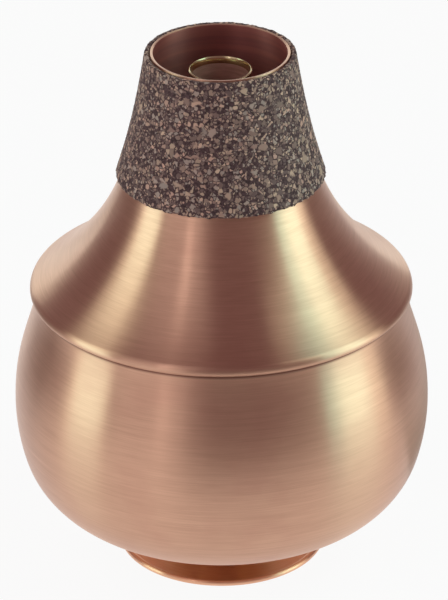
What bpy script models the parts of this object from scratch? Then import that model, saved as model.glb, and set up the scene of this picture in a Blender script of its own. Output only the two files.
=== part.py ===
"""Wah-wah mute for a trumpet: two spun copper halves, a corked neck, and a brass stem with a copper cup.

Metres, +Z up the mute's axis. The origin lies on the axis, in the plane of the cup's rim, on which the
mute stands. Every piece is turned, so each one is drawn as a closed section in (radius, height) and spun
about Z. Heights are stacked up from the cup's rim, so a piece follows whatever carries it.
"""
import math

import bmesh
import bpy
from mathutils import Vector
from mathutils.geometry import interpolate_bezier

MM = 0.001

# Fits between pieces
FIT_GAP = 0.3 * MM            # between flat faces that meet
GLUE_LINE = 0.15 * MM         # under the cork
SOLDER_LINE = 0.15 * MM       # round a soldered collar
SLIDE_CLEARANCE = 0.15 * MM   # between the stem's lip and the lining that it slides through

# Copper body: the upper shell
BODY_WALL = 0.6 * MM
MOUTH_DIAMETER = 31.2 * MM        # inside the neck's lip
NECK_HEIGHT = 31.4 * MM           # from the foot of the neck to its lip
NECK_FOOT_DIAMETER = 46.9 * MM
NECK_TOP_SLOPE = 8.9              # degrees off the axis, at the lip
NECK_FOOT_SLOPE = 18.2            # degrees off the axis, where the neck runs into the flare
NECK_PULL = 0.35                  # handle length, as a share of the neck's chord
FLARE_HEIGHT = 28.8 * MM          # from the rolled edge to the foot of the neck
FLARE_TOP_PULL = 0.35             # handle lengths, as shares of the flare's chord
FLARE_FOOT_PULL = 0.30
SHOULDER_DIAMETER = 90.7 * MM
SHOULDER_RADIUS = 2.0 * MM        # outside radius of the turn into the rolled edge
SHOULDER_SLOPE = 59.0             # degrees off the axis, where the flare meets the shoulder
EDGE_FOLD_GAP = 0.2 * MM          # air inside the rolled edge
EDGE_LEG = 0.3 * MM               # how far the rolled edge runs back up inside

# Copper body: the lower bowl
BODY_DIAMETER = 99.0 * MM
BASE_TO_WIDEST = 28.0 * MM
WIDEST_TO_SEAM = 28.1 * MM
SIDE_RADIUS = 48.0 * MM           # outline just below the widest line
KNUCKLE_RADIUS = 20.4 * MM        # outline where the side turns into the flat base
SEAM_SLOPE = 9.0                  # degrees off the axis, just under the rolled edge
SEAM_PULL = 0.33
WIDEST_PULL = 0.47
ROLLED_EDGE_RISE = 1.4 * MM       # from the bowl's seam line to the start of the rolled edge

# Cork on the neck
CORK_THICKNESS = 1.2 * MM
CORK_SETBACK = 0.2 * MM           # the copper lip stands proud of the cork by this
CORK_LENGTH = 32.0 * MM           # along the slope
CORK_EDGE_RADIUS = 0.4 * MM

# Stem: a brass tube with a belled lip, soldered into a copper cup
TUBE_DIAMETER = 14.3 * MM
TUBE_WALL = 0.45 * MM
LIP_FLARE = 0.3 * MM              # the lip is wider than the tube by this, each side
LIP_DEPTH = 1.5 * MM
LIP_SLOPE = 24.0                  # degrees off the axis, at the lip's edge
LIP_PULL = 0.40
LIP_SETBACK = 4.4 * MM            # from the neck's lip down to the stem's
CUP_WALL = 0.6 * MM
CUP_HEIGHT = 9.9 * MM
CUP_COLLAR = 3.0 * MM             # straight part that holds the tube
CUP_DIAMETER = 50.0 * MM
CUP_BEAD_RADIUS = 0.75 * MM       # the wired edge
CUP_RIM_FLAT = 1.2 * MM           # flat ring inside the wired edge
CUP_THROAT_PULL = 0.25
CUP_RIM_PULL = 0.35

# Socket in the base, with its cork lining
SOCKET_WALL = 0.6 * MM
SOCKET_LENGTH = 28.0 * MM         # of the sleeve, up inside the bowl
FLANGE_DIAMETER = 27.0 * MM
FLANGE_THICKNESS = 0.8 * MM
LEDGE_WIDTH = 0.8 * MM            # how far the flange reaches in under the lining
LINING_THICKNESS = 1.2 * MM
LINING_SETBACK = 1.0 * MM         # from the sleeve's open end down to the lining
LINING_LEAD = 0.4 * MM            # the lining's edges are cut back by this, to start the tube

# Sides of each turned piece, and points along its curves
BODY_SIDES = 48
STEM_SIDES = 32
SHARP_ANGLE = 35.0                # degrees; steeper edges are shaded sharp
SQUARE = 90.0                     # degrees; a line this far off the axis runs straight out
LONG_CURVE_STEPS = 8
GENTLE_CURVE_STEPS = 6
SHORT_CURVE_STEPS = 5
EDGE_CURVE_STEPS = 3

# Finishes: base colour, roughness, metallic
COPPER = ((0.60, 0.30, 0.20), 0.32, 1.0)
BRASS = ((0.61, 0.44, 0.19), 0.30, 1.0)
PRESSED_CORK = ((0.16, 0.09, 0.06), 0.85, 0.0)
NATURAL_CORK = ((0.42, 0.26, 0.14), 0.85, 0.0)

# Heights, stacked up from the cup's rim
SEAT_HEIGHT = CUP_HEIGHT + FIT_GAP
FLANGE_TOP = SEAT_HEIGHT + FLANGE_THICKNESS
BASE_HEIGHT = FLANGE_TOP + FIT_GAP
SOCKET_TOP = BASE_HEIGHT + SOCKET_LENGTH
WIDEST_HEIGHT = BASE_HEIGHT + BASE_TO_WIDEST
SEAM_HEIGHT = WIDEST_HEIGHT + WIDEST_TO_SEAM
EDGE_HEIGHT = SEAM_HEIGHT + ROLLED_EDGE_RISE
FOOT_HEIGHT = EDGE_HEIGHT + FLARE_HEIGHT
MOUTH_HEIGHT = FOOT_HEIGHT + NECK_HEIGHT
STEM_TOP = MOUTH_HEIGHT - LIP_SETBACK
THROAT_HEIGHT = CUP_HEIGHT - CUP_COLLAR

# Radii that two pieces share
ROLLED_EDGE_RADIUS = BODY_WALL + EDGE_FOLD_GAP / 2
ROLLED_EDGE_BORE = SHOULDER_DIAMETER / 2 - 2 * ROLLED_EDGE_RADIUS
COLLAR_RADIUS = ROLLED_EDGE_BORE - SOLDER_LINE
TUBE_RADIUS = TUBE_DIAMETER / 2
LINING_BORE = TUBE_RADIUS + LIP_FLARE + SLIDE_CLEARANCE
LINING_RADIUS = LINING_BORE + LINING_THICKNESS
SLEEVE_BORE = LINING_RADIUS + GLUE_LINE
SLEEVE_RADIUS = SLEEVE_BORE + SOCKET_WALL


def at(radius, height):
    """A point of a section."""
    return Vector((radius, height))


def down_and_out(slope):
    """Unit direction that leads down and outwards, slope degrees off the axis."""
    return at(math.sin(math.radians(slope)), -math.cos(math.radians(slope)))


def arc(centre, radius, start, end, steps):
    """Points of an arc, its angles in degrees up from the outward direction."""
    points = []
    for step in range(steps + 1):
        angle = math.radians(start + (end - start) * step / steps)
        points.append(centre + at(math.cos(angle), math.sin(angle)) * radius)
    return points


def curve(start, start_slope, start_pull, end, end_slope, end_pull, steps):
    """Points of one smooth curve between two points, leaving and arriving at the given slopes."""
    chord = (end - start).length
    handle_a = start + down_and_out(start_slope) * chord * start_pull
    handle_b = end - down_and_out(end_slope) * chord * end_pull
    return [at(*point[:2]) for point in interpolate_bezier(start, handle_a, handle_b, end, steps + 1)]


def parallel(line, distance):
    """The line moved sideways: towards the axis where it runs down, and downwards where it runs out."""
    moved = []
    for index, point in enumerate(line):
        before = line[max(index - 1, 0)]
        after = line[min(index + 1, len(line) - 1)]
        arriving = (point - before if index > 0 else after - point).normalized()
        leaving = (after - point if index < len(line) - 1 else point - before).normalized()
        side = at(arriving.y, -arriving.x)
        mitre = (side + at(leaving.y, -leaving.x)).normalized()
        moved.append(point + mitre * distance / mitre.dot(side))
    return moved


def stretch(line, start, length):
    """The part of a line that starts at a distance along it and has the given length."""
    end = start + length
    kept = []
    run = 0.0
    for first, second in zip(line, line[1:]):
        step = (second - first).length
        if run <= start < run + step:
            kept.append(first.lerp(second, (start - run) / step))
        if start < run + step < end:
            kept.append(second)
        if run < end <= run + step:
            kept.append(first.lerp(second, (end - run) / step))
        run += step
    return kept


def rounded(corner, along, radius, at_start):
    """A quarter turn in place of a corner, at the start or the end of a line that runs along."""
    inwards = at(along.y, -along.x)
    to_middle = along if at_start else -along
    facing = math.degrees(math.atan2(-inwards.y, -inwards.x))
    turn_from = facing + SQUARE if at_start else facing
    middle = corner + (inwards + to_middle) * radius
    return arc(middle, radius, turn_from, turn_from - SQUARE, EDGE_CURVE_STEPS)


def height_on(line, radius):
    """Height at which a line that runs down and out passes a radius."""
    for upper, lower in zip(line, line[1:]):
        if upper.x <= radius <= lower.x:
            share = (radius - upper.x) / (lower.x - upper.x)
            return upper.y + (lower.y - upper.y) * share
    return line[-1].y


def material(name, finish):
    """A plain Principled material."""
    colour, roughness, metallic = finish
    made = bpy.data.materials.new(name)
    made.use_nodes = True
    shader = made.node_tree.nodes["Principled BSDF"]
    shader.inputs["Base Color"].default_value = (*colour, 1.0)
    shader.inputs["Roughness"].default_value = roughness
    shader.inputs["Metallic"].default_value = metallic
    return made


def turn(name, section, sides, finish, carrier):
    """Spin a closed section once round Z into one solid ring, and hang it on its carrier."""
    shape = bmesh.new()
    corners = [shape.verts.new((point.x, 0.0, point.y)) for point in section]
    outline = [shape.edges.new((corners[index - 1], corners[index])) for index in range(len(corners))]
    bmesh.ops.spin(shape, geom=corners + outline, cent=(0, 0, 0), axis=(0, 0, 1),
                   angle=math.tau, steps=sides, use_merge=True)
    bmesh.ops.recalc_face_normals(shape, faces=shape.faces)
    mesh = bpy.data.meshes.new(name)
    shape.to_mesh(mesh)
    shape.free()
    mesh.shade_smooth()
    mesh.set_sharp_from_angle(angle=math.radians(SHARP_ANGLE))
    mesh.materials.append(material(name + " finish", finish))
    piece = bpy.data.objects.new(name, mesh)
    piece.parent = carrier
    bpy.context.collection.objects.link(piece)
    return piece


def carrier_on_axis(name):
    """An empty on the axis, which carries pieces that move as one."""
    empty = bpy.data.objects.new(name, None)
    empty.empty_display_size = TUBE_DIAMETER
    bpy.context.collection.objects.link(empty)
    return empty


def neck_line():
    """Outside of the neck, from its lip down to its foot."""
    lip_radius = MOUTH_DIAMETER / 2 + BODY_WALL / math.cos(math.radians(NECK_TOP_SLOPE))
    lip = at(lip_radius, MOUTH_HEIGHT)
    foot = at(NECK_FOOT_DIAMETER / 2, FOOT_HEIGHT)
    return curve(lip, NECK_TOP_SLOPE, NECK_PULL, foot, NECK_FOOT_SLOPE, NECK_PULL, GENTLE_CURVE_STEPS)


def shell_line():
    """Outside of the upper shell: neck, concave flare, and the tight shoulder down to the rolled edge."""
    shoulder_centre = at(SHOULDER_DIAMETER / 2 - SHOULDER_RADIUS, EDGE_HEIGHT)
    shoulder = arc(shoulder_centre, SHOULDER_RADIUS, SHOULDER_SLOPE, 0, SHORT_CURVE_STEPS)
    neck = neck_line()
    flare = curve(neck[-1], NECK_FOOT_SLOPE, FLARE_TOP_PULL,
                  shoulder[0], SHOULDER_SLOPE, FLARE_FOOT_PULL, LONG_CURVE_STEPS)
    return neck + flare[1:] + shoulder[1:]


def shell_section():
    """Upper shell: its wall, with the lower edge rolled under and back up inside."""
    outside = shell_line()
    inside = parallel(outside, BODY_WALL)
    inside[0] = at(MOUTH_DIAMETER / 2, MOUTH_HEIGHT)
    roll_centre = at(SHOULDER_DIAMETER / 2 - ROLLED_EDGE_RADIUS, EDGE_HEIGHT)
    roll = arc(roll_centre, ROLLED_EDGE_RADIUS, 0, -2 * SQUARE, 2 * EDGE_CURVE_STEPS)
    leg = [roll[-1] + at(0, EDGE_LEG), roll[-1] + at(BODY_WALL, EDGE_LEG)]
    hollow = arc(roll_centre, EDGE_FOLD_GAP / 2, -2 * SQUARE, 0, 2)
    return outside + roll[1:] + leg + hollow[:-1] + inside[::-1]


def bowl_section():
    """Lower bowl: a collar that stands inside the shell's rolled edge, the round side and the flat base."""
    seam = at(COLLAR_RADIUS, SEAM_HEIGHT)
    widest = at(BODY_DIAMETER / 2, WIDEST_HEIGHT)
    above = curve(seam, SEAM_SLOPE, SEAM_PULL, widest, 0, WIDEST_PULL, LONG_CURVE_STEPS)
    knuckle_radius = min(KNUCKLE_RADIUS, BASE_TO_WIDEST)
    turned = math.degrees(math.asin((BASE_TO_WIDEST - knuckle_radius) / (SIDE_RADIUS - knuckle_radius)))
    side_centre = widest - at(SIDE_RADIUS, 0)
    below = arc(side_centre, SIDE_RADIUS, 0, -turned, EDGE_CURVE_STEPS)
    knuckle_centre = side_centre + down_and_out(SQUARE - turned) * (SIDE_RADIUS - knuckle_radius)
    knuckle = arc(knuckle_centre, knuckle_radius, -turned, -SQUARE, LONG_CURVE_STEPS)
    wall = above + below[1:] + knuckle[1:]
    collar_top = height_on(parallel(shell_line(), BODY_WALL), COLLAR_RADIUS) - FIT_GAP
    hole = SLEEVE_RADIUS + FIT_GAP
    outside = [at(COLLAR_RADIUS, collar_top)] + wall + [at(hole, BASE_HEIGHT)]
    inside = parallel(outside, BODY_WALL)
    return outside + inside[::-1]


def cork_section():
    """Cork cone: a strip of even thickness that follows the neck, its outer edges rounded."""
    covered = stretch(shell_line(), CORK_SETBACK, CORK_LENGTH)
    inside = parallel(covered, -GLUE_LINE)
    outside = parallel(covered, -(GLUE_LINE + CORK_THICKNESS))
    top_edge = rounded(outside[0], (outside[1] - outside[0]).normalized(), CORK_EDGE_RADIUS, True)
    foot_edge = rounded(outside[-1], (outside[-1] - outside[-2]).normalized(), CORK_EDGE_RADIUS, False)
    return top_edge + outside[1:-1] + foot_edge + inside[::-1]


def tube_section():
    """Stem tube: thin brass that bells out a little at the lip; its foot stands in the cup's collar."""
    lip = at(TUBE_RADIUS + LIP_FLARE, STEM_TOP)
    straight = at(TUBE_RADIUS, STEM_TOP - LIP_DEPTH)
    bell = curve(lip, -LIP_SLOPE, LIP_PULL, straight, 0, LIP_PULL, SHORT_CURVE_STEPS)
    outside = bell + [at(TUBE_RADIUS, THROAT_HEIGHT)]
    inside = parallel(outside, TUBE_WALL)
    inside[0].y = STEM_TOP
    return outside + inside[::-1]


def cup_section():
    """Stem cup: a collar on the tube that opens like a bell, with a wired edge on its upper side."""
    throat = at(TUBE_RADIUS + SOLDER_LINE, THROAT_HEIGHT)
    bead_centre = at(CUP_DIAMETER / 2 - CUP_BEAD_RADIUS, CUP_BEAD_RADIUS)
    flat_start = at(bead_centre.x - CUP_RIM_FLAT, 0)
    lining = curve(throat, 0, CUP_THROAT_PULL, flat_start, SQUARE, CUP_RIM_PULL, GENTLE_CURVE_STEPS)
    back = parallel(lining, -CUP_WALL)
    meeting = 2 * SQUARE + math.degrees(math.asin(1 - CUP_WALL / CUP_BEAD_RADIUS))
    bead = arc(bead_centre, CUP_BEAD_RADIUS, -SQUARE, meeting, 3 * EDGE_CURVE_STEPS)
    collar = [at(throat.x + CUP_WALL, CUP_HEIGHT), at(throat.x, CUP_HEIGHT)]
    return lining + bead + back[::-1] + collar


def socket_section():
    """Stem socket: a sleeve up inside the bowl, on a flange that closes on the outside of the base."""
    ledge = LINING_RADIUS - LEDGE_WIDTH
    return [at(SLEEVE_RADIUS, SOCKET_TOP),
            at(SLEEVE_RADIUS, FLANGE_TOP),
            at(FLANGE_DIAMETER / 2, FLANGE_TOP),
            at(FLANGE_DIAMETER / 2, SEAT_HEIGHT),
            at(ledge, SEAT_HEIGHT),
            at(ledge, FLANGE_TOP),
            at(SLEEVE_BORE, FLANGE_TOP),
            at(SLEEVE_BORE, SOCKET_TOP)]


def lining_section():
    """Socket lining: a sleeve of cork that grips the stem, its edges cut back to start the tube."""
    foot = FLANGE_TOP + FIT_GAP
    top = SOCKET_TOP - LINING_SETBACK
    return [at(LINING_RADIUS, top),
            at(LINING_RADIUS, foot),
            at(LINING_BORE + LINING_LEAD, foot),
            at(LINING_BORE, foot + LINING_LEAD),
            at(LINING_BORE, top - LINING_LEAD),
            at(LINING_BORE + LINING_LEAD, top)]


for thing in list(bpy.data.objects):
    bpy.data.objects.remove(thing, do_unlink=True)

mute_body = carrier_on_axis("mute_body")
turn("upper_shell", shell_section(), BODY_SIDES, COPPER, mute_body)
turn("lower_bowl", bowl_section(), BODY_SIDES, COPPER, mute_body)
turn("neck_cork", cork_section(), BODY_SIDES, PRESSED_CORK, mute_body)
turn("stem_socket", socket_section(), STEM_SIDES, BRASS, mute_body)
turn("socket_lining", lining_section(), STEM_SIDES, NATURAL_CORK, mute_body)

stem_slide = carrier_on_axis("stem_slide")
turn("stem_tube", tube_section(), STEM_SIDES, BRASS, stem_slide)
turn("stem_cup", cup_section(), STEM_SIDES, COPPER, stem_slide)
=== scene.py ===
# %% [markdown]
# # Dressing a wah-wah mute: spun copper, pressed cork and a brass stem
#
# A wah-wah mute is a hollow bulb of thin copper that wedges in a trumpet's bell by a cork cone. A brass
# tube with a small copper cup slides up its middle. The model of its solids is loaded first, as a frame
# that stays where it is. This lesson then makes the piece that is seen for each of those solids, round and
# fine where the solid is faceted, and gives it its finish.

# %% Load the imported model
import math

import bpy
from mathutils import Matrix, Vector


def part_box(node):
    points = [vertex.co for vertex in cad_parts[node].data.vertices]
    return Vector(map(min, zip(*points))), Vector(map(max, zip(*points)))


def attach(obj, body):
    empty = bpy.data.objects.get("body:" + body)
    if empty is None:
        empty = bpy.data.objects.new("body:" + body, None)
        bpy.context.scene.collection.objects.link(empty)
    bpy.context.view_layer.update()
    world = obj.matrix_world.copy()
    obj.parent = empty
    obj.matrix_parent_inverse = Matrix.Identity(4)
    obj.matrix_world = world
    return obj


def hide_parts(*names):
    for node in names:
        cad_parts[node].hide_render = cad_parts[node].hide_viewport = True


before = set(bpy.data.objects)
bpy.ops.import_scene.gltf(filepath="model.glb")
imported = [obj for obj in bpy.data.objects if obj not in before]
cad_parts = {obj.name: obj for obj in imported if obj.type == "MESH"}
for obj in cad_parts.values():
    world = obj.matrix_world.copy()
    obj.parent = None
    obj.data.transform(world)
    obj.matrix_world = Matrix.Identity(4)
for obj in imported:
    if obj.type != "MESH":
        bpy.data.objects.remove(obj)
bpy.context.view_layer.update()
print("solids:", ", ".join(sorted(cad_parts)))

# %% [markdown]
# ## Sizes
#
# The outer sizes are read from the solids, so that a new piece sits just where its solid is. What a box
# can't tell, such as a wall, a slope or the roundness of an edge, is given here once, as on a drawing.
# A slope is in degrees off the axis. A pull is the length of a curve's handle as a share of the chord.

# %% Sizes of the copper body
MM = 0.001
shell_low, shell_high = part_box("upper_shell")
bowl_low, bowl_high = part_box("lower_bowl")

COPPER_WALL = 0.6 * MM
MOUTH_RADIUS = 15.6 * MM
MOUTH_HEIGHT = shell_high.z
NECK_LENGTH = 31.4 * MM
NECK_FOOT_RADIUS = 23.45 * MM
NECK_FOOT_HEIGHT = MOUTH_HEIGHT - NECK_LENGTH
NECK_TOP_SLOPE = 8.9
NECK_FOOT_SLOPE = 18.2
NECK_PULL = 0.35
FLARE_TOP_PULL = 0.35
FLARE_FOOT_PULL = 0.30
SHOULDER_ROUND = 2.0 * MM
SHOULDER_SLOPE = 59.0
EDGE_RADIUS = shell_high.x
ROLL_ROUND = 0.7 * MM
ROLL_HEIGHT = shell_low.z + ROLL_ROUND
ROLL_LEG = 0.3 * MM              # the straight bit that ends the roll

COLLAR_GAP = 0.15 * MM
COLLAR_RADIUS = EDGE_RADIUS - 2 * ROLL_ROUND - COLLAR_GAP
SEAM_DROP = 1.4 * MM
SEAM_HEIGHT = ROLL_HEIGHT - SEAM_DROP
SEAM_SLOPE = 9.0
SEAM_PULL = 0.33
WIDEST_PULL = 0.47
BODY_RADIUS = bowl_high.x
BASE_HEIGHT = bowl_low.z
WIDEST_RISE = 28.0 * MM
WIDEST_HEIGHT = BASE_HEIGHT + WIDEST_RISE
SIDE_ROUND = 48.0 * MM
KNUCKLE_ROUND = 20.4 * MM
print("body", round(2 * BODY_RADIUS / MM, 1), "mm across,", round(MOUTH_HEIGHT / MM, 1), "mm high")

# %% Sizes of the cork, the stem and the socket
socket_low, socket_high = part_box("stem_socket")
lining_low, lining_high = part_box("socket_lining")
tube_low, tube_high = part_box("stem_tube")
cup_low, cup_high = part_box("stem_cup")

CORK_THICKNESS = 1.2 * MM
CORK_SETBACK = 0.2 * MM
GLUE_LINE = 0.15 * MM

TUBE_RADIUS = 7.15 * MM
TUBE_WALL = 0.45 * MM
LIP_RADIUS = tube_high.x
LIP_HEIGHT = tube_high.z
LIP_DEPTH = 1.5 * MM
LIP_SLOPE = 24.0
LIP_PULL = 0.40

CUP_WALL = 0.6 * MM
CUP_RADIUS = cup_high.x
CUP_TOP = cup_high.z
THROAT_HEIGHT = tube_low.z
SOLDER_GAP = 0.15 * MM
THROAT_RADIUS = TUBE_RADIUS + SOLDER_GAP
BEAD_ROUND = 0.75 * MM
RIM_FLAT = 1.2 * MM
CUP_THROAT_PULL = 0.25
CUP_RIM_PULL = 0.35

SLEEVE_WALL = 0.6 * MM
SLEEVE_RADIUS = 9.55 * MM
SLEEVE_GAP = 0.3 * MM            # between the sleeve and the hole in the base
FLANGE_RADIUS = socket_high.x
FLANGE_THICKNESS = 0.8 * MM
LEDGE_RADIUS = 8.0 * MM
LINING_RADIUS = lining_high.x
LINING_THICKNESS = 1.2 * MM
LINING_LEAD = 0.4 * MM
print("stem", round((LIP_HEIGHT - cup_low.z) / MM, 1), "mm long")
print("cup", round(2 * CUP_RADIUS / MM, 1), "mm across")

# %% [markdown]
# ## A pen for the outlines
#
# Every piece was made turning: the copper was pressed over a wooden form on a lathe, the tube was drawn,
# the cork was sanded as it spun. So each piece is one outline, taken once round the axis. An outline
# could be a list of points, but then nobody sees which stretch is straight and which is an arc. Here it
# is drawn like a pen stroke, with lines, free sweeps and true arcs, each one stretch of a Bezier curve.

# %% The pen
SQUARE = 90.0
STRETCH_STEPS = 24


def spot(radius, height):
    """A place on the outline, in the plane of X and Z."""
    return Vector((radius, 0.0, height))


def heading(slope):
    """The direction that runs down and outwards, slope degrees off the axis."""
    return spot(math.sin(math.radians(slope)), -math.cos(math.radians(slope)))


class Outline:
    """One stroke of the pen: its knots, each with the handle before it and the handle after it."""

    def __init__(self, radius, height):
        start = spot(radius, height)
        self.knots = [[start, start, start]]

    def reach(self, handle_out, handle_in, place):
        """Lead the stroke on to a new knot."""
        self.knots[-1][2] = handle_out
        self.knots.append([handle_in, place, place])
        return self

    def line(self, radius, height):
        """A straight stretch."""
        here = self.knots[-1][1]
        there = spot(radius, height)
        return self.reach(here.lerp(there, 1 / 3), here.lerp(there, 2 / 3), there)

    def sweep(self, slope, pull, radius, height, end_slope, end_pull):
        """A free curve that leaves and arrives at the given slopes."""
        here = self.knots[-1][1]
        there = spot(radius, height)
        chord = (there - here).length
        handle_out = here + heading(slope) * chord * pull
        return self.reach(handle_out, there - heading(end_slope) * chord * end_pull, there)

    def arc(self, centre, angle):
        """A true arc about a centre, anticlockwise where the angle is above zero."""
        quarters = math.ceil(abs(angle) / SQUARE)
        step = math.radians(angle / quarters)
        for _ in range(quarters):
            arm = self.knots[-1][1] - centre
            turned = spot(arm.x * math.cos(step) - arm.z * math.sin(step),
                          arm.x * math.sin(step) + arm.z * math.cos(step))
            share = 4 / 3 * math.tan(step / 4)
            leave = centre + arm + spot(-arm.z, arm.x) * share
            arrive = centre + turned - spot(-turned.z, turned.x) * share
            self.reach(leave, arrive, centre + turned)
        return self


print("pen ready,", STRETCH_STEPS, "steps to a stretch")

# %% [markdown]
# ## The lathe
#
# A curve primitive takes the knots of the outline and becomes a chain of edges. Edit mode's spin takes
# the chain once round the axis, and the two ends of the turn are merged. A spun surface may come out
# with its faces pointing in, so its normals are made consistent here, while it is still one thin skin:
# on a skin that already has its thickness, that would turn the inner wall round. On an open skin Blender
# can only guess which side is out, so the faces are asked whether they look away from the axis, each
# counted by its area, and are flipped if most of them don't.

# %% The lathe
BODY_SIDES = 216
STEM_SIDES = 128
WELD = 0.001 * MM
STRAIGHT = math.radians(0.01)


def deselect_all():
    """Leave nothing selected, so that the next operator acts on new things alone."""
    if bpy.context.object and bpy.context.object.mode != "OBJECT":
        bpy.ops.object.mode_set(mode="OBJECT")
    bpy.ops.object.select_all(action="DESELECT")


def draw(name, outline, steps=STRETCH_STEPS):
    """Turn an outline into a chain of edges, by way of a Bezier curve."""
    deselect_all()
    bpy.ops.curve.primitive_bezier_curve_add(location=(0, 0, 0))
    stroke = bpy.context.object
    spline = stroke.data.splines[0]
    spline.bezier_points.add(len(outline.knots) - len(spline.bezier_points))
    for point, (before, knot, after) in zip(spline.bezier_points, outline.knots):
        point.handle_left_type = "FREE"
        point.handle_right_type = "FREE"
        point.handle_left = before
        point.co = knot
        point.handle_right = after
    stroke.data.resolution_u = steps
    bpy.ops.object.convert(target="MESH")
    stroke = bpy.context.object
    stroke.name = name
    stroke.data.name = name
    for _ in ("outside", "inside"):
        bpy.ops.object.material_slot_add()
    bpy.ops.object.mode_set(mode="EDIT")
    bpy.ops.mesh.select_all(action="SELECT")
    bpy.ops.mesh.dissolve_limited(angle_limit=STRAIGHT)
    bpy.ops.object.mode_set(mode="OBJECT")
    return stroke


def spin_round(piece, sides):
    """Take the outline once round the axis, close the turn and point the faces outwards."""
    bpy.ops.object.mode_set(mode="EDIT")
    bpy.ops.mesh.select_all(action="SELECT")
    bpy.ops.mesh.spin(steps=sides, angle=math.tau, center=(0, 0, 0), axis=(0, 0, 1))
    bpy.ops.mesh.select_all(action="SELECT")
    bpy.ops.mesh.remove_doubles(threshold=WELD)
    bpy.ops.mesh.normals_make_consistent(inside=False)
    bpy.ops.object.mode_set(mode="OBJECT")
    if sum(face.area * face.normal.xy.dot(face.center.xy) for face in piece.data.polygons) < 0:
        bpy.ops.object.mode_set(mode="EDIT")
        bpy.ops.mesh.flip_normals()
        bpy.ops.object.mode_set(mode="OBJECT")
        print(piece.name, "turned right side out")
    return piece


def turn(name, outline, sides, steps=STRETCH_STEPS):
    """One turned piece from its outline."""
    return spin_round(draw(name, outline, steps), sides)


print("lathe ready,", BODY_SIDES, "sides on the body and", STEM_SIDES, "on the stem")

# %% [markdown]
# ## Walls and edges
#
# Solidify gives a skin the thickness of its sheet, measured inwards, so that the outside stays on the
# outline. It puts the inner wall in a material slot of its own, for the finish inside, and the cut edges
# in whichever of the two slots they are given. Cut edges of sheet metal are rubbed down before a piece
# leaves the shop. A narrow bevel on the sharp edges does the same, and it is what lets a lip catch the
# light as a thin bright line. Where a bevel runs into the next ring of the mesh it leaves faces without
# area, and a weld takes them away.

# %% Walls and edges
SMOOTH_ANGLE = math.radians(40)
SHARP_EDGE = math.radians(50)
RUB_SEGMENTS = 3
OUTER_SLOT = 0
INNER_SLOT = 1


def apply_modifiers(piece):
    """Apply what is on the piece, in order."""
    deselect_all()
    piece.select_set(True)
    bpy.context.view_layer.objects.active = piece
    for modifier in list(piece.modifiers):
        bpy.ops.object.modifier_apply(modifier=modifier.name)


def give_wall(piece, thickness, cut_slot):
    """Thicken a skin inwards; its cut edges get the finish of the cut slot."""
    wall = piece.modifiers.new("sheet", "SOLIDIFY")
    wall.thickness = thickness
    wall.offset = -1.0
    wall.use_even_offset = True
    wall.material_offset = INNER_SLOT
    wall.material_offset_rim = cut_slot
    apply_modifiers(piece)


def rub_edges(piece, width):
    """Round the sharp edges by a narrow bevel, then shade the piece smooth."""
    rubbed = piece.modifiers.new("rubbed edges", "BEVEL")
    rubbed.width = width
    rubbed.segments = RUB_SEGMENTS
    rubbed.limit_method = "ANGLE"
    rubbed.angle_limit = SHARP_EDGE
    welded = piece.modifiers.new("welded", "WELD")
    welded.merge_threshold = WELD
    apply_modifiers(piece)
    bpy.ops.object.shade_smooth_by_angle(angle=SMOOTH_ANGLE)
    print(piece.name, len(piece.data.polygons), "faces,",
          [round(side / MM, 2) for side in piece.dimensions], "mm")


# %% [markdown]
# ## Upper shell
#
# One disc of copper, spun over a form: a neck that tapers like the trumpet's throat, a hollow flare, and
# a tight shoulder. The lower edge is rolled under and back up inside, which stiffens it and makes the
# bright line that runs round the mute. It is drawn from the lip down, as the spinner's tool moves. The cut
# edge at the lip was polished with the outside, so it takes the outer finish.

# %% Upper shell
EDGE_RUB = 0.26 * MM


def neck_stroke():
    """The outside of the neck, from the lip to its foot."""
    lip_radius = MOUTH_RADIUS + COPPER_WALL / math.cos(math.radians(NECK_TOP_SLOPE))
    neck = Outline(lip_radius, MOUTH_HEIGHT)
    return neck.sweep(NECK_TOP_SLOPE, NECK_PULL, NECK_FOOT_RADIUS, NECK_FOOT_HEIGHT, NECK_FOOT_SLOPE,
                      NECK_PULL)


def shell_stroke():
    """The whole outside of the upper shell, ending in its rolled edge."""
    shoulder = spot(EDGE_RADIUS - SHOULDER_ROUND, ROLL_HEIGHT)
    lean = math.radians(SHOULDER_SLOPE)
    start = shoulder + spot(math.cos(lean), math.sin(lean)) * SHOULDER_ROUND
    stroke = neck_stroke()
    stroke.sweep(NECK_FOOT_SLOPE, FLARE_TOP_PULL, start.x, start.z, SHOULDER_SLOPE, FLARE_FOOT_PULL)
    stroke.arc(shoulder, -SHOULDER_SLOPE)
    roll = spot(EDGE_RADIUS - ROLL_ROUND, ROLL_HEIGHT)
    stroke.arc(roll, -2 * SQUARE)
    return stroke.line(roll.x - ROLL_ROUND, ROLL_HEIGHT + ROLL_LEG)


spun_shell = turn("spun_shell", shell_stroke(), BODY_SIDES)
give_wall(spun_shell, COPPER_WALL, OUTER_SLOT)
rub_edges(spun_shell, EDGE_RUB)

# %% [markdown]
# ## Lower bowl
#
# The second spinning. Its collar stands up inside the rolled edge, where it is soldered. From there the
# side swells to the widest line, turns in with one large arc and one small one, and ends in a flat base
# with a hole for the socket. The arcs meet without a kink, because their centres lie on one line.

# %% Lower bowl
COLLAR_TOP = bowl_high.z


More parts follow.
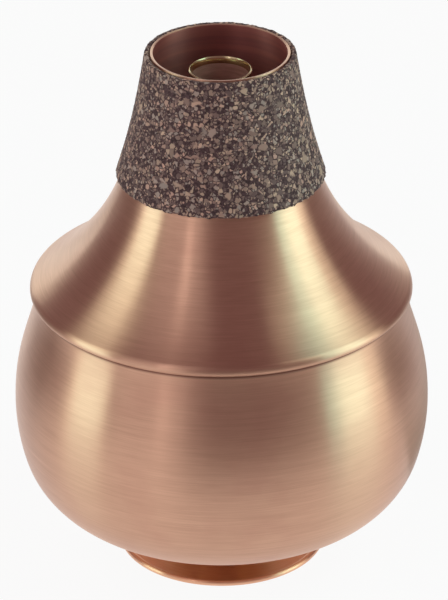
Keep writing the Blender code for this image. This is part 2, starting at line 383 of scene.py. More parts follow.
def bowl_stroke():
    """The outside of the bowl, from the collar's top to the hole in the base."""
    side_centre = spot(BODY_RADIUS - SIDE_ROUND, WIDEST_HEIGHT)
    drop = WIDEST_HEIGHT - BASE_HEIGHT
    side_turn = math.degrees(math.asin((drop - KNUCKLE_ROUND) / (SIDE_ROUND - KNUCKLE_ROUND)))
    knuckle = side_centre + heading(SQUARE - side_turn) * (SIDE_ROUND - KNUCKLE_ROUND)
    stroke = Outline(COLLAR_RADIUS, COLLAR_TOP)
    stroke.line(COLLAR_RADIUS, SEAM_HEIGHT)
    stroke.sweep(SEAM_SLOPE, SEAM_PULL, BODY_RADIUS, WIDEST_HEIGHT, 0, WIDEST_PULL)
    stroke.arc(side_centre, -side_turn)
    stroke.arc(knuckle, side_turn - SQUARE)
    return stroke.line(SLEEVE_RADIUS + SLEEVE_GAP, BASE_HEIGHT)


spun_bowl = turn("spun_bowl", bowl_stroke(), BODY_SIDES)
give_wall(spun_bowl, COPPER_WALL, INNER_SLOT)
rub_edges(spun_bowl, EDGE_RUB)

# %% [markdown]
# ## Cork cone
#
# A strip of pressed cork, glued round the neck and sanded true on the lathe. It follows the neck, so it
# is the neck's own stroke again, moved out by the glue and the strip. Sanding takes more of the soft binder
# than of the chips, and chips break out along both edges. A bump alone would leave the outline as smooth as
# plastic, so the skin gets many small faces, and two solid noises push them in and out.

# %% Cork cone
CORK_SIDES = 420
CORK_STEPS = 84
CORK_RUB = 0.35 * MM
RELIEF_SPACING = 0.9 * MM
RELIEF_DEPTH = 0.14 * MM
CRUMBLE_SPACING = 1.1 * MM
CRUMBLE_DEPTH = 1.0 * MM
CRUMBLE_WIDTH = 1.3 * MM
TOP_CRUMBLE = 0.4                # the top edge crumbles less than the foot
CHIP_LEVEL = 0.4
CRUMBLE_LEVEL = 0.72
CORK_SMOOTH_ANGLE = math.radians(75)


def cork_stroke():
    """The outside of the cork: the neck's stroke, moved out square to the copper."""
    stand_off = GLUE_LINE + CORK_THICKNESS
    lip, foot = [knot[1] for knot in neck_stroke().knots]
    top = lip + heading(NECK_TOP_SLOPE) * CORK_SETBACK + heading(NECK_TOP_SLOPE + SQUARE) * stand_off
    bottom = foot + heading(NECK_FOOT_SLOPE + SQUARE) * stand_off
    stroke = Outline(top.x, top.z)
    return stroke.sweep(NECK_TOP_SLOPE, NECK_PULL, bottom.x, bottom.z, NECK_FOOT_SLOPE, NECK_PULL)


def weigh_skin(piece, name, weigh):
    """A vertex group for all but the glued side, each vertex weighed by its height."""
    group = piece.vertex_groups.new(name=name)
    outside = [face for face in piece.data.polygons if face.material_index == OUTER_SLOT]
    skin = {index for face in outside for index in face.vertices}
    for index in sorted(skin):
        group.add([index], weigh(piece.data.vertices[index].co.z), "REPLACE")


def roughen(piece, name, kind, spacing, depth, level):
    """Push the skin out where the noise is above the level, and in where it is below."""
    noise = bpy.data.textures.new(name, kind)
    noise.noise_scale = spacing
    push = piece.modifiers.new(name, "DISPLACE")
    push.texture = noise
    push.texture_coords = "LOCAL"
    push.strength = depth
    push.mid_level = level
    push.vertex_group = name
    apply_modifiers(piece)


cork_cone = turn("cork_cone", cork_stroke(), CORK_SIDES, CORK_STEPS)
give_wall(cork_cone, CORK_THICKNESS, OUTER_SLOT)
rub_edges(cork_cone, CORK_RUB)
edge_heights = [vertex.co.z for vertex in cork_cone.data.vertices]
foot_edge, top_edge = min(edge_heights), max(edge_heights)
weigh_skin(cork_cone, "chips", lambda height: 1.0)
weigh_skin(cork_cone, "crumbs", lambda height: max(0.0, 1 - (height - foot_edge) / CRUMBLE_WIDTH,
                                                   TOP_CRUMBLE - (top_edge - height) / CRUMBLE_WIDTH))
roughen(cork_cone, "chips", "VORONOI", RELIEF_SPACING, -RELIEF_DEPTH, CHIP_LEVEL)
roughen(cork_cone, "crumbs", "CLOUDS", CRUMBLE_SPACING, CRUMBLE_DEPTH, CRUMBLE_LEVEL)
bpy.ops.object.shade_smooth_by_angle(angle=CORK_SMOOTH_ANGLE)
print("cork now", [round(side / MM, 2) for side in cork_cone.dimensions], "mm")

# %% [markdown]
# ## Stem tube
#
# A length of drawn brass tube. Only its lip shows, down in the mouth of the neck, where it is belled out
# a little so that the stem can't be pushed through. The belling tool burnished the lip inside too, so the
# faces there take the outer finish.

# %% Stem tube
TUBE_RUB = 0.12 * MM


def tube_stroke():
    """The outside of the tube, from its lip to the foot that stands in the cup."""
    stroke = Outline(LIP_RADIUS, LIP_HEIGHT)
    stroke.sweep(-LIP_SLOPE, LIP_PULL, TUBE_RADIUS, LIP_HEIGHT - LIP_DEPTH, 0, LIP_PULL)
    return stroke.line(TUBE_RADIUS, THROAT_HEIGHT)


brass_tube = turn("brass_tube", tube_stroke(), STEM_SIDES)
give_wall(brass_tube, TUBE_WALL, OUTER_SLOT)
for face in brass_tube.data.polygons:
    if face.center.z > LIP_HEIGHT - LIP_DEPTH:
        face.material_index = OUTER_SLOT
rub_edges(brass_tube, TUBE_RUB)

# %% [markdown]
# ## Stem cup
#
# A small copper bell with a straight collar that is soldered on the tube, and a wire rolled into its rim.
# Both of its sides show, and the wired rim isn't the thickness of the sheet, so the pen goes round the
# whole section and back to where it began.

# %% Stem cup
def cup_stroke():
    """The closed section of the cup, from the throat down its inside, round the bead and back up."""
    bead = spot(CUP_RADIUS - BEAD_ROUND, cup_low.z + BEAD_ROUND)
    flat_start = bead.x - RIM_FLAT
    meeting = math.degrees(math.asin(1 - CUP_WALL / BEAD_ROUND))
    stroke = Outline(THROAT_RADIUS, THROAT_HEIGHT)
    stroke.sweep(0, CUP_THROAT_PULL, flat_start, cup_low.z, SQUARE, CUP_RIM_PULL)
    stroke.line(bead.x, cup_low.z)
    stroke.arc(bead, 3 * SQUARE + meeting)
    back = stroke.knots[-1][1]
    outer = THROAT_RADIUS + CUP_WALL
    stroke.line(flat_start, back.z)
    stroke.sweep(-SQUARE, CUP_RIM_PULL, outer, THROAT_HEIGHT, 2 * SQUARE, CUP_THROAT_PULL)
    stroke.line(outer, CUP_TOP)
    stroke.line(THROAT_RADIUS, CUP_TOP)
    return stroke.line(THROAT_RADIUS, THROAT_HEIGHT)


copper_cup = turn("copper_cup", cup_stroke(), STEM_SIDES)
rub_edges(copper_cup, TUBE_RUB)

# %% [markdown]
# ## Socket and its lining
#
# Inside the base sits a brass sleeve on a flange, and in the sleeve a ring of natural cork that grips the
# stem. They show when the mute is pulled off its stem, so they are turned with the same care. All their
# lines are straight, so few steps to a stretch will do.

# %% Socket and its lining
STRAIGHT_STEPS = 2


def socket_stroke():
    """The closed section of the sleeve and its flange."""
    flange_top = socket_low.z + FLANGE_THICKNESS
    bore = SLEEVE_RADIUS - SLEEVE_WALL
    stroke = Outline(SLEEVE_RADIUS, socket_high.z)
    stroke.line(SLEEVE_RADIUS, flange_top).line(FLANGE_RADIUS, flange_top).line(FLANGE_RADIUS, socket_low.z)
    stroke.line(LEDGE_RADIUS, socket_low.z).line(LEDGE_RADIUS, flange_top).line(bore, flange_top)
    return stroke.line(bore, socket_high.z).line(SLEEVE_RADIUS, socket_high.z)


def lining_stroke():
    """The closed section of the lining, cut back where the tube enters."""
    bore = LINING_RADIUS - LINING_THICKNESS
    top, foot = lining_high.z, lining_low.z
    stroke = Outline(LINING_RADIUS, top)
    stroke.line(LINING_RADIUS, foot).line(bore + LINING_LEAD, foot).line(bore, foot + LINING_LEAD)
    return stroke.line(bore, top - LINING_LEAD).line(bore + LINING_LEAD, top).line(LINING_RADIUS, top)


brass_socket = turn("brass_socket", socket_stroke(), STEM_SIDES, STRAIGHT_STEPS)
rub_edges(brass_socket, TUBE_RUB)
cork_lining = turn("cork_lining", lining_stroke(), STEM_SIDES, STRAIGHT_STEPS)
rub_edges(cork_lining, TUBE_RUB)

# %% [markdown]
# ## Colours and nodes
#
# Colours are written as they look on a screen, in hex, and turned to the linear values that the renderer
# works with. One function adds a node of any kind, sets its properties, and gives its inputs their values.
# A value may be a number, a colour, another node's output, or the other node itself, which then stands for
# its first output in use. A noise seldom comes near 0 or 1, so what reads one stretches its middle.

# %% Colours and nodes
NOISE_MIDDLE = {"From Min": 0.35, "From Max": 0.65}
NOISE_REACH = {"From Min": 0.3, "From Max": 0.7}


def screen_colour(code):
    """A hex colour as linear red, green, blue and alpha."""
    linear = []
    for start in (1, 3, 5):
        value = int(code[start:start + 2], 16) / 255
        linear.append(value / 12.92 if value <= 0.04045 else ((value + 0.055) / 1.055) ** 2.4)
    return (*linear, 1.0)


def add(tree, kind, inputs=None, **properties):
    """Add a node, set its properties, and give each named or numbered input a value or a link."""
    made = tree.nodes.new("ShaderNode" + kind)
    for name, value in properties.items():
        setattr(made, name, value)
    in_use = {socket.name: socket for socket in reversed(made.inputs) if socket.enabled}
    for name, value in (inputs or {}).items():
        socket = made.inputs[name] if isinstance(name, int) else in_use[name]
        if isinstance(value, bpy.types.Node):
            value = next(output for output in value.outputs if output.enabled)
        if isinstance(value, bpy.types.NodeSocket):
            tree.links.new(value, socket)
        else:
            socket.default_value = value
    return made


def new_material(name):
    """A material with an empty node tree."""
    material = bpy.data.materials.new(name)
    material.use_nodes = True
    material.node_tree.nodes.clear()
    return material, material.node_tree


# %% [markdown]
# ## Marks left by turning
#
# Every metal piece here was brushed, spun or drawn while it turned, so its marks are rings. They are noise
# that changes slowly round the axis and quickly along the outline. The noise has four dimensions: three
# take the way round and the height, and the fourth takes the distance from the axis. So the rings also run
# right where the metal lies flat, as on the flare and under the base.

# %% Marks left by turning
def lathe_marks(tree, length, pitch, detail):
    """Rings of noise: length is how far one runs round the body, and pitch how far apart they lie."""
    place = add(tree, "TexCoord").outputs["Object"]
    level = add(tree, "VectorMath", {0: place, 1: (1, 1, 0)}, operation="MULTIPLY")
    radius = add(tree, "VectorMath", {0: level}, operation="LENGTH")
    facing = add(tree, "VectorMath", {0: level}, operation="NORMALIZE")
    round_axis = add(tree, "VectorMath", {0: facing, "Scale": BODY_RADIUS / length}, operation="SCALE")
    up = add(tree, "VectorMath", {0: place, 1: (0, 0, 1 / pitch)}, operation="MULTIPLY")
    here = add(tree, "VectorMath", {0: round_axis, 1: up}, operation="ADD")
    outwards = add(tree, "Math", {0: radius, 1: 1 / pitch}, operation="MULTIPLY")
    inputs = {"Vector": here, "W": outwards, "Scale": 1.0, "Detail": detail}
    return add(tree, "TexNoise", inputs, noise_dimensions="4D")


print("lathe marks ready")

# %% [markdown]
# ## Brushed copper
#
# Spun copper, brushed with a fine abrasive while it still turned, then lacquered. Each scratch throws
# light up and down but hardly sideways, so a lamp shows as a tall band with sharp sides: that is
# anisotropic gloss, its wide direction along the outline. The copper stays pale and pink under its lacquer,
# which is a thin clear coat with a soft gloss of its own. The metal is a little redder in cloudy patches,
# where it was handled before it was lacquered. Just under the rolled edge a narrow dark brown band is
# painted shade, where the roll shades the copper.
# The cup takes a paler copy of the same finish, painted lighter: painted light that stands in for the
# light it lacks. It mirrors the bowl, not a lamp, and light that copper has thrown back twice is deep
# orange.

# %% Brushed copper
SCRATCH_LENGTH = 9.0 * MM
SCRATCH_PITCH = 0.24 * MM        # the real ones are 0.05 mm apart, too fine to show
STROKE_LENGTH = 30.0 * MM
STROKE_PITCH = 0.9 * MM
STROKE_WEIGHT = 0.5
MARKS_REACH = {"From Min": 0.5, "From Max": 1.0}
CLOUD_SIZE = 16.0 * MM
CLOUDY = {"From Min": 0.5, "From Max": 0.75, "To Max": 0.4}
UNDER_ROLL_SHADE_LOW = SEAM_HEIGHT - 0.75 * MM
UNDER_ROLL_SHADE_HIGH = SEAM_HEIGHT - 0.1 * MM
UNDER_ROLL_SHADE_FADE = 0.2 * MM
BRUSHED_ROUGH = 0.355
BRUSHED_SMOOTH = 0.315
BRUSHED_STRETCH = 0.95           # how far a highlight is drawn out; 0 leaves it round
ALONG_OUTLINE = 0.25             # a quarter turn, from round the axis to along the outline
LACQUER_WEIGHT = 0.2
LACQUER_ROUGHNESS = 0.28


def brushed_copper(name, dark, pale):
    """Brushed and lacquered copper between two tones, with painted shade under the rolled edge."""
    material, tree = new_material(name)
    place = add(tree, "TexCoord").outputs["Object"]
    scratches = lathe_marks(tree, SCRATCH_LENGTH, SCRATCH_PITCH, 2.0)
    strokes = lathe_marks(tree, STROKE_LENGTH, STROKE_PITCH, 2.0)
    marks = add(tree, "Math", {0: strokes, 1: STROKE_WEIGHT, 2: scratches}, operation="MULTIPLY_ADD")
    tone = add(tree, "MapRange", {"Value": marks, **MARKS_REACH})
    shades = {"Factor": tone, "A": screen_colour(dark), "B": screen_colour(pale)}
    metal = add(tree, "Mix", shades, data_type="RGBA")

    clouds = add(tree, "TexNoise", {"Vector": place, "Scale": 1 / CLOUD_SIZE, "Detail": 3.0})
    handled = add(tree, "MapRange", {"Value": clouds, **CLOUDY})
    reddened = {"Factor": handled, "A": metal, "B": screen_colour("#c48e7a")}
    metal = add(tree, "Mix", reddened, data_type="RGBA")

    # Painted shade: a dark brown band on the copper just under the rolled edge, where the roll shades it.
    height = add(tree, "SeparateXYZ", {0: place}).outputs["Z"]
    rising = add(tree, "MapRange", {"Value": height, "From Min": UNDER_ROLL_SHADE_LOW, "From Max": UNDER_ROLL_SHADE_HIGH})
    falling = {"Value": height, "From Min": UNDER_ROLL_SHADE_HIGH + UNDER_ROLL_SHADE_FADE, "From Max": UNDER_ROLL_SHADE_HIGH}
    painted_shade = add(tree, "Math", {0: rising, 1: add(tree, "MapRange", falling)}, operation="MULTIPLY")
    shade_under_roll = {"Factor": painted_shade, "A": metal, "B": screen_colour("#6b4136")}
    metal = add(tree, "Mix", shade_under_roll, data_type="RGBA")

    gloss = {"Value": marks, **MARKS_REACH, "To Min": BRUSHED_ROUGH, "To Max": BRUSHED_SMOOTH}
    around = add(tree, "Tangent", direction_type="RADIAL", axis="Z")
    finish = {"Base Color": metal, "Metallic": 1.0, "Roughness": add(tree, "MapRange", gloss),
              "Tangent": around, "Anisotropic": BRUSHED_STRETCH, "Anisotropic Rotation": ALONG_OUTLINE,
              "Coat Weight": LACQUER_WEIGHT, "Coat Roughness": LACQUER_ROUGHNESS}
    add(tree, "OutputMaterial", {"Surface": add(tree, "BsdfPrincipled", finish)})
    return material


copper = brushed_copper("brushed copper", "#cb9d84", "#d8a98f")
# Painted light: the cup's copper is a lighter copy of the same finish.
copper_painted_lighter = brushed_copper("copper painted lighter", "#e9ae8b", "#f2bd9c")
print(copper.name, len(copper.node_tree.nodes), "nodes, and", copper_painted_lighter.name)

# %% [markdown]
# ## Raw copper inside
#
# Nobody brushes or lacquers the inside of a mute. There the copper has browned, and the rings of the
# spinner's tool are still on it. The film of oxide is a colour of its own over the metal, so the finish is
# less metallic and rougher, but the rings still draw a lamp out into a tall soft glow.

# %% Raw copper inside
TOOL_RING = 1.1 * MM
TOOL_RING_LENGTH = 130.0 * MM
FILM_METALLIC = 0.6
FILM_SMOOTH = 0.44
FILM_ROUGH = 0.5
FILM_STRETCH = 0.9


def raw_copper():
    """Browned copper with the spinner's tool rings."""
    material, tree = new_material("raw copper")
    rings = lathe_marks(tree, TOOL_RING_LENGTH, TOOL_RING, 4.0)
    tone = add(tree, "MapRange", {"Value": rings, **NOISE_MIDDLE})
    shades = {"Factor": tone, "A": screen_colour("#ac6862"), "B": screen_colour("#be7268")}
    film = add(tree, "Mix", shades, data_type="RGBA")
    gloss = {"Value": rings, **NOISE_REACH, "To Min": FILM_SMOOTH, "To Max": FILM_ROUGH}
    around = add(tree, "Tangent", direction_type="RADIAL", axis="Z")
    finish = {"Base Color": film, "Metallic": FILM_METALLIC, "Roughness": add(tree, "MapRange", gloss),
              "Tangent": around, "Anisotropic": FILM_STRETCH, "Anisotropic Rotation": ALONG_OUTLINE}
    add(tree, "OutputMaterial", {"Surface": add(tree, "BsdfPrincipled", finish)})
    return material


browned_copper = raw_copper()
print(browned_copper.name, len(browned_copper.node_tree.nodes), "nodes")

# %% [markdown]
# ## Drawn brass
#
# Drawn tube is pale, greenish yellow and shiny, with faint rings from the polishing wheel. Its inside was
# never polished, and an oxide film has made it a dull pinkish brown that is hardly metallic.

# %% Drawn brass
POLISH_PITCH = 0.6 * MM
POLISH_LENGTH = 34.0 * MM


def drawn_brass(name, dark, pale, smooth, rough, metallic):
    """Brass between two tones and two roughnesses."""
    material, tree = new_material(name)
    rings = lathe_marks(tree, POLISH_LENGTH, POLISH_PITCH, 3.0)
    tone = add(tree, "MapRange", {"Value": rings, **NOISE_MIDDLE})
    shades = {"Factor": tone, "A": screen_colour(dark), "B": screen_colour(pale)}
    gloss = {"Value": rings, **NOISE_REACH, "To Min": smooth, "To Max": rough}
    finish = {"Base Color": add(tree, "Mix", shades, data_type="RGBA"), "Metallic": metallic,
              "Roughness": add(tree, "MapRange", gloss)}
    add(tree, "OutputMaterial", {"Surface": add(tree, "BsdfPrincipled", finish)})
    return material


brass = drawn_brass("drawn brass", "#cbb58c", "#dccba4", smooth=0.14, rough=0.24, metallic=1.0)
dull_brass = drawn_brass("dull brass", "#a07468", "#b8877a", smooth=0.4, rough=0.55, metallic=0.2)
print(brass.name, "and", dull_brass.name)

# %% [markdown]
# ## Pressed cork
#
# Agglomerated cork is chips of bark of all sizes, pressed with a dark binder. Where the cone was sanded,
# each chip is a small flat polygon in tan, pink or grey, and only some are pale. A Voronoi texture is made
# of just such cells, and its distance to a cell's edge gives each chip its outline. Three sizes are laid
# over each other, the big chips on top, and in each size only some of the cells hold a chip. A little noise
# in the place that they read keeps their sides from being ruler straight.

# %% Pressed cork
CHIP_SIZES = (1.9 * MM, 1.12 * MM, 0.72 * MM)
CHIP_SHARES = (0.12, 0.42, 0.66)
CHIP_OUTLINE = {"From Min": 0.07, "From Max": 0.17}
CHIP_WOBBLE = 0.4 * MM
PALENESS_POWER = 1.5             # over 1, so that pale chips are fewer than dark ones
GREY_CHIPS = {"From Min": 0.78, "From Max": 0.82, "To Max": 0.7}
CHIP_ROUGHNESS = 0.65
CHIP_BUMP = 0.12 * MM
CHIP_BUMP_STRENGTH = 0.8
BINDER_GRAIN = 0.5 * MM
BINDER_RELIEF = 0.25
BINDER_ROUGHNESS = 0.85


def chips(tree, place, size, share):
    """Chips of one size: where they are, their tone from 0 to 1, and their other chance value."""
    cells = {"Vector": place, "Scale": 1 / size}
    chance = add(tree, "TexVoronoi", cells, feature="F1").outputs["Color"]
    rim = add(tree, "TexVoronoi", cells, feature="DISTANCE_TO_EDGE")
    drawn = add(tree, "SeparateColor", {0: chance}).outputs
    held = add(tree, "Math", {0: drawn[0], 1: share}, operation="LESS_THAN")
    body = add(tree, "MapRange", {"Value": rim, **CHIP_OUTLINE})
    there = add(tree, "Math", {0: held, 1: body}, operation="MULTIPLY")
    return there, drawn[1], drawn[2]


def pressed_cork_finish():
    """Pressed cork: dark binder full of pale chips."""
    material, tree = new_material("pressed cork")
    place = add(tree, "TexCoord").outputs["Object"]
    wander = add(tree, "TexNoise", {"Vector": place, "Scale": 1 / (2 * CHIP_WOBBLE), "Detail": 2.0})
    shift = add(tree, "VectorMath", {0: wander.outputs["Color"], "Scale": CHIP_WOBBLE}, operation="SCALE")
    place = add(tree, "VectorMath", {0: place, 1: shift}, operation="ADD")

    grain = add(tree, "TexNoise", {"Vector": place, "Scale": 1 / BINDER_GRAIN, "Detail": 2.0})
    tone = add(tree, "MapRange", {"Value": grain, **NOISE_MIDDLE})
    shades = {"Factor": tone, "A": screen_colour("#3a2427"), "B": screen_colour("#5d4043")}
    colour = add(tree, "Mix", shades, data_type="RGBA")
    relief = add(tree, "MapRange", {"Value": grain, **NOISE_REACH, "To Max": BINDER_RELIEF})
    for size, share in zip(reversed(CHIP_SIZES), reversed(CHIP_SHARES)):
        there, chance, hue = chips(tree, place, size, share)
        tan = {"Factor": hue, "A": screen_colour("#dcb9a0"), "B": screen_colour("#d6a092")}
        tan = add(tree, "Mix", tan, data_type="RGBA")
        paleness = add(tree, "Math", {0: chance, 1: PALENESS_POWER}, operation="POWER")
        chip = {"Factor": paleness, "A": screen_colour("#6e5250"), "B": tan}
        chip = add(tree, "Mix", chip, data_type="RGBA")
        grey = add(tree, "MapRange", {"Value": hue, **GREY_CHIPS})
        chip = {"Factor": grey, "A": chip, "B": screen_colour("#b5a096")}
        chip = add(tree, "Mix", chip, data_type="RGBA")
        laid = {"Factor": there, "A": colour, "B": chip}
        colour = add(tree, "Mix", laid, data_type="RGBA")
        relief = add(tree, "Math", {0: relief, 1: there}, operation="MAXIMUM")
    bump = add(tree, "Bump", {"Height": relief, "Strength": CHIP_BUMP_STRENGTH, "Distance": CHIP_BUMP})
    gloss = add(tree, "MapRange", {"Value": relief, "To Min": BINDER_ROUGHNESS, "To Max": CHIP_ROUGHNESS})
    finish = {"Base Color": colour, "Roughness": gloss, "Normal": bump}
    add(tree, "OutputMaterial", {"Surface": add(tree, "BsdfPrincipled", finish)})
    return material


pressed_cork = pressed_cork_finish()
print(pressed_cork.name, len(pressed_cork.node_tree.nodes), "nodes")

# %% [markdown]
# ## Natural cork
#
# The lining was cut from one piece of bark: even tan, with short dark pores.

# %% Natural cork
BARK_GRAIN = 2.5 * MM
BARK_ROUGHNESS = 0.85
PORE_SPACING = 1.6 * MM
PORE_EDGE = {"From Min": 0.25, "From Max": 0.12}
PORE_DEPTH = 0.1 * MM
PORE_STRENGTH = 0.6


def natural_cork_finish():
    """Solid cork with pores."""
    material, tree = new_material("natural cork")
    place = add(tree, "TexCoord").outputs["Object"]
    mottle = add(tree, "TexNoise", {"Vector": place, "Scale": 1 / BARK_GRAIN, "Detail": 4.0})
    tone = add(tree, "MapRange", {"Value": mottle, **NOISE_MIDDLE})
    shades = {"Factor": tone, "A": screen_colour("#a07a52"), "B": screen_colour("#c29a6c")}
    bark = add(tree, "Mix", shades, data_type="RGBA")
    cells = add(tree, "TexVoronoi", {"Vector": place, "Scale": 1 / PORE_SPACING})
    pore = add(tree, "MapRange", {"Value": cells, **PORE_EDGE})
    pitted = {"Factor": pore, "A": bark, "B": screen_colour("#5a3d28")}
    colour = add(tree, "Mix", pitted, data_type="RGBA")
    pits = {"Height": pore, "Strength": PORE_STRENGTH, "Distance": PORE_DEPTH}
    bump = add(tree, "Bump", pits, invert=True)
    finish = {"Base Color": colour, "Roughness": BARK_ROUGHNESS, "Normal": bump}
    add(tree, "OutputMaterial", {"Surface": add(tree, "BsdfPrincipled", finish)})
    return material


natural_cork = natural_cork_finish()
print(natural_cork.name, len(natural_cork.node_tree.nodes), "nodes")

# %% [markdown]
# ## Each piece takes its solid's place
#
# A piece rides on the body that its solid belongs to, stands for that solid, and takes its finish from
# the materials made above. The insides of the shells and the tube have a finish of their own,
# on the faces that the thickening made.

# %% Each piece takes its solid's place
def put_in_place(piece, node, body, outside, inside=None):
    """Give a piece its finish, outside and inside, and let it stand for a solid on a body."""
    for index, material in enumerate((outside, inside or outside)):
        piece.material_slots[index].material = material
    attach(piece, body)
    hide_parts(node)


put_in_place(spun_shell, "upper_shell", "body", copper, browned_copper)
put_in_place(spun_bowl, "lower_bowl", "body", copper, browned_copper)
put_in_place(cork_cone, "neck_cork", "body", pressed_cork)
put_in_place(brass_socket, "stem_socket", "body", brass)
put_in_place(cork_lining, "socket_lining", "body", natural_cork)
put_in_place(brass_tube, "stem_tube", "stem", brass, dull_brass)
put_in_place(copper_cup, "stem_cup", "stem", copper_painted_lighter)

# %% [markdown]
# ## Floor
#
# A plain pale floor. To the camera, and in the metal, it is white, as paper is under good light. What
# little of its own shading is mixed in keeps the shadow where the mute stands. Dull cloths lie on it, out
# of the picture, where only the metal sees them: shiny copper has no colour of its own to show, and it is
# the dark front of the studio that gives the bowl its brown middle. The grey cloths at the sides keep the
# bowl's outer edges from turning white. A pale card close by on the right is painted shade: it stands for
# the floor shaded by the mute, which the metal would otherwise see as white, and darkens the bowl's right
# edge.

# %% Floor
FLOOR_SIZE = 40.0                # so large that a low view doesn't look past it
WHITE_SHARE = 0.92
CLOTH_LIFT = 0.5 * MM


def flat_sheet(name, width, depth, centre, material):
    """A level sheet that belongs to the studio."""
    deselect_all()
    bpy.ops.mesh.primitive_plane_add(size=1.0, location=centre)
    sheet = bpy.context.object
    sheet.name = name
    sheet.scale = (width, depth, 1)
    sheet.data.materials.append(material)
    return sheet


def paper():
    """Pale paper, white to the camera and to what mirrors it."""
    material, tree = new_material("pale paper")
    matt = add(tree, "BsdfPrincipled", {"Base Color": screen_colour("#f2f2f2"), "Roughness": 0.9})
    rays = add(tree, "LightPath").outputs
    glancing = {0: rays["Is Glossy Ray"], 1: rays["Is Transmission Ray"]}
    mirrored = add(tree, "Math", glancing, operation="MAXIMUM")
    seen = add(tree, "Math", {0: rays["Is Camera Ray"], 1: mirrored}, operation="MAXIMUM")
    share = add(tree, "Math", {0: seen, 1: WHITE_SHARE}, operation="MULTIPLY")
    white = add(tree, "Emission", {"Color": (1, 1, 1, 1), "Strength": 1.0})
    mixed = add(tree, "MixShader", {0: share, 1: matt, 2: white})
    add(tree, "OutputMaterial", {"Surface": mixed})
    return material


def cloth(name, colour):
    """Dull cloth of one colour."""
    material, tree = new_material(name)
    matt = add(tree, "BsdfPrincipled", {"Base Color": screen_colour(colour), "Roughness": 1.0})
    add(tree, "OutputMaterial", {"Surface": matt})
    return material


def lay(name, left, right, front, back, material):
    """A cloth or card on the floor, seen by the metal alone."""
    centre = ((left + right) / 2, (front + back) / 2, CLOTH_LIFT)
    sheet = flat_sheet(name, right - left, back - front, centre, material)
    sheet.visible_camera = False
    sheet.visible_diffuse = False
    sheet.visible_shadow = False
    print(name, "down")


flat_sheet("floor", FLOOR_SIZE, FLOOR_SIZE, (0, 0, 0), paper())
dark_cloth = cloth("dark cloth", "#453838")
grey_cloth = cloth("grey cloth", "#aa9a96")
floor_shade_card = cloth("floor shade card", "#f0e8e4")
lay("front cloth", left=-0.12, right=2.0, front=-2.2, back=-0.195, material=dark_cloth)
lay("left cloth", left=-2.0, right=-0.17, front=0.06, back=0.77, material=grey_cloth)
lay("right cloth", left=0.21, right=2.0, front=0.06, back=0.77, material=grey_cloth)
# Painted shade: this pale card stands for the floor shaded by the mute, seen in the bowl's right edge.
lay("right floor shade card", left=0.064, right=0.11, front=0.015, back=0.5, material=floor_shade_card)

# %% [markdown]
# ## Lamps and world
#
# Lamps are what brushed copper is drawn with, so each is placed by the band that it must give. At each side
# stand tall softboxes: a core whose top leans back, a spread that widens the band towards the camera, and
# a heart of cooler light, which copper turns to the pale green of the band's middle. One more, high on the
# right, carries that band over the flare. A broad sheet of light behind gives the pale outer edges, a large
# weak one in front lifts the brown middle, a narrow window lights a streak beside it, and a low warm world
# fills the rest.
#
# An area lamp shows in a mirror with its power divided by pi and by its area, so its brightness is given
# as that, where 1 is white. Where two area lamps overlap in one plane, light is lost, so each softbox of a
# side stands a centimetre from the next.

# %% Lamps and world
STRIP_FOOT = -0.04
STRIP_TOP = 0.82
BAND_COLOUR = (0.82, 1.0, 0.86)
HEART_COLOUR = (0.25, 1.0, 0.95)
BACK_COLOUR = (0.8, 1.0, 0.96)
FILL_COLOUR = (0.95, 1.0, 1.0)
WINDOW_COLOUR = (1.0, 1.0, 1.0)
WORLD_COLOUR = (0.245, 0.16, 0.177, 1)


def softbox(name, place, target, width, height, brightness, colour):
    """An area lamp that faces the mute; brightness 1 shows as white in a mirror."""
    deselect_all()
    place = Vector(place)
    bpy.ops.object.light_add(type="AREA", location=place)
    lamp = bpy.context.object
    lamp.name = name
    lamp.rotation_euler = (place - Vector(target)).to_track_quat("Z", "Y").to_euler()
    lamp.data.shape = "RECTANGLE"
    lamp.data.size = width
    lamp.data.size_y = height
    lamp.data.energy = brightness * math.pi * width * height
    lamp.data.color = colour
    return lamp


def strip(name, distance, width, middle, lean, brightness, colour, foot=STRIP_FOOT, top=STRIP_TOP):
    """A tall softbox, its top leaning back; it stands on the left where the distance is below zero."""
    side = math.copysign(1, distance)
    place = (distance, middle, (foot + top) / 2)
    target = (0, middle, place[2])
    lamp = softbox(name, place, target, width, top - foot, brightness, colour)
    lamp.rotation_euler.rotate_axis("Z", math.radians(-side * lean))
    return lamp


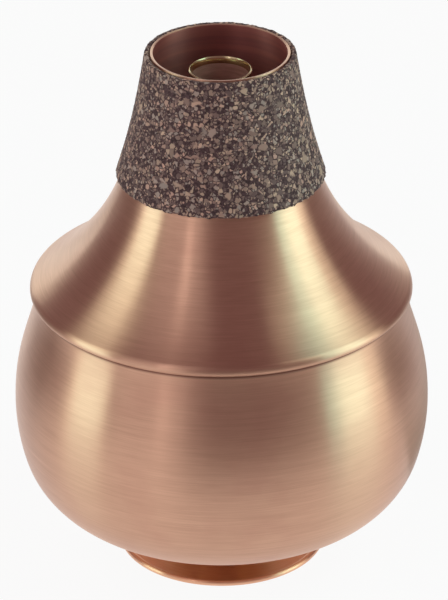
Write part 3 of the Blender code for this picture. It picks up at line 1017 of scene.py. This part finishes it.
strip("left core", -0.50, width=0.25, middle=0.005, lean=24, brightness=0.84, colour=BAND_COLOUR)
strip("left spread", -0.51, width=0.24, middle=-0.085, lean=8, brightness=0.84, colour=BAND_COLOUR)
strip("left heart", -0.49, width=0.18, middle=-0.12, lean=12, brightness=0.8, colour=HEART_COLOUR,
      top=0.3)
strip("right core", 0.50, width=0.29, middle=0.035, lean=19, brightness=0.75, colour=BAND_COLOUR)
strip("right spread", 0.51, width=0.30, middle=-0.235, lean=-14, brightness=1.1, colour=BAND_COLOUR,
      top=1.3)
strip("right heart", 0.49, width=0.28, middle=-0.04, lean=14, brightness=1.1, colour=HEART_COLOUR,
      top=1.3)
strip("right top", 0.52, width=0.30, middle=0.2, lean=19, brightness=1.3, colour=BAND_COLOUR,
      foot=0.5, top=1.1)
softbox("back light", place=(-0.17, 0.95, 0.3), target=(-0.17, 0, 0.3), width=1.26, height=0.7,
        brightness=1.15, colour=BACK_COLOUR)
softbox("front fill", place=(-0.67, -0.8, 0.85), target=(0, 0, 0.4), width=0.95, height=1.9,
        brightness=0.42, colour=FILL_COLOUR)
softbox("window", place=(-0.66, -1.0, 0.8), target=(0, 0, 0.1), width=0.12, height=0.9,
        brightness=1.4, colour=WINDOW_COLOUR)

world = bpy.data.worlds.new("studio")
bpy.context.scene.world = world
world.use_nodes = True
world.node_tree.nodes["Background"].inputs["Color"].default_value = WORLD_COLOUR

# %% [markdown]
# ## Camera
#
# The camera looks down on the mute from a metre away, with a long lens. How steeply it looks down was
# found from how round the mouth looks, and its distance from how much the base turns away. It was held a
# quarter of a degree off level, and its picture was cropped a little off the middle, which is what the two
# shifts say.

# %% Camera
CAMERA_ELEVATION = 27.418
CAMERA_DISTANCE = 1.0035
CAMERA_TILT = -0.24
AIM_HEIGHT = 0.065
FILM_WIDTH = 36
LENS = 253.4
SHIFT_RIGHT = 0.00455
SHIFT_UP = -0.0033
NEAREST = 0.01
FARTHEST = 20

deselect_all()
lift = math.radians(CAMERA_ELEVATION)
camera_place = (0, -math.cos(lift) * CAMERA_DISTANCE, AIM_HEIGHT + math.sin(lift) * CAMERA_DISTANCE)
bpy.ops.object.camera_add(location=camera_place, rotation=(math.pi / 2 - lift, 0, 0))
camera = bpy.context.object
camera.rotation_euler.rotate_axis("Z", math.radians(CAMERA_TILT))
camera.data.sensor_width = FILM_WIDTH
camera.data.lens = LENS
camera.data.shift_x = SHIFT_RIGHT
camera.data.shift_y = SHIFT_UP
camera.data.clip_start = NEAREST
camera.data.clip_end = FARTHEST
bpy.context.scene.camera = camera
bpy.context.scene.view_settings.view_transform = "Standard"
print("camera at", [round(value, 3) for value in camera_place])
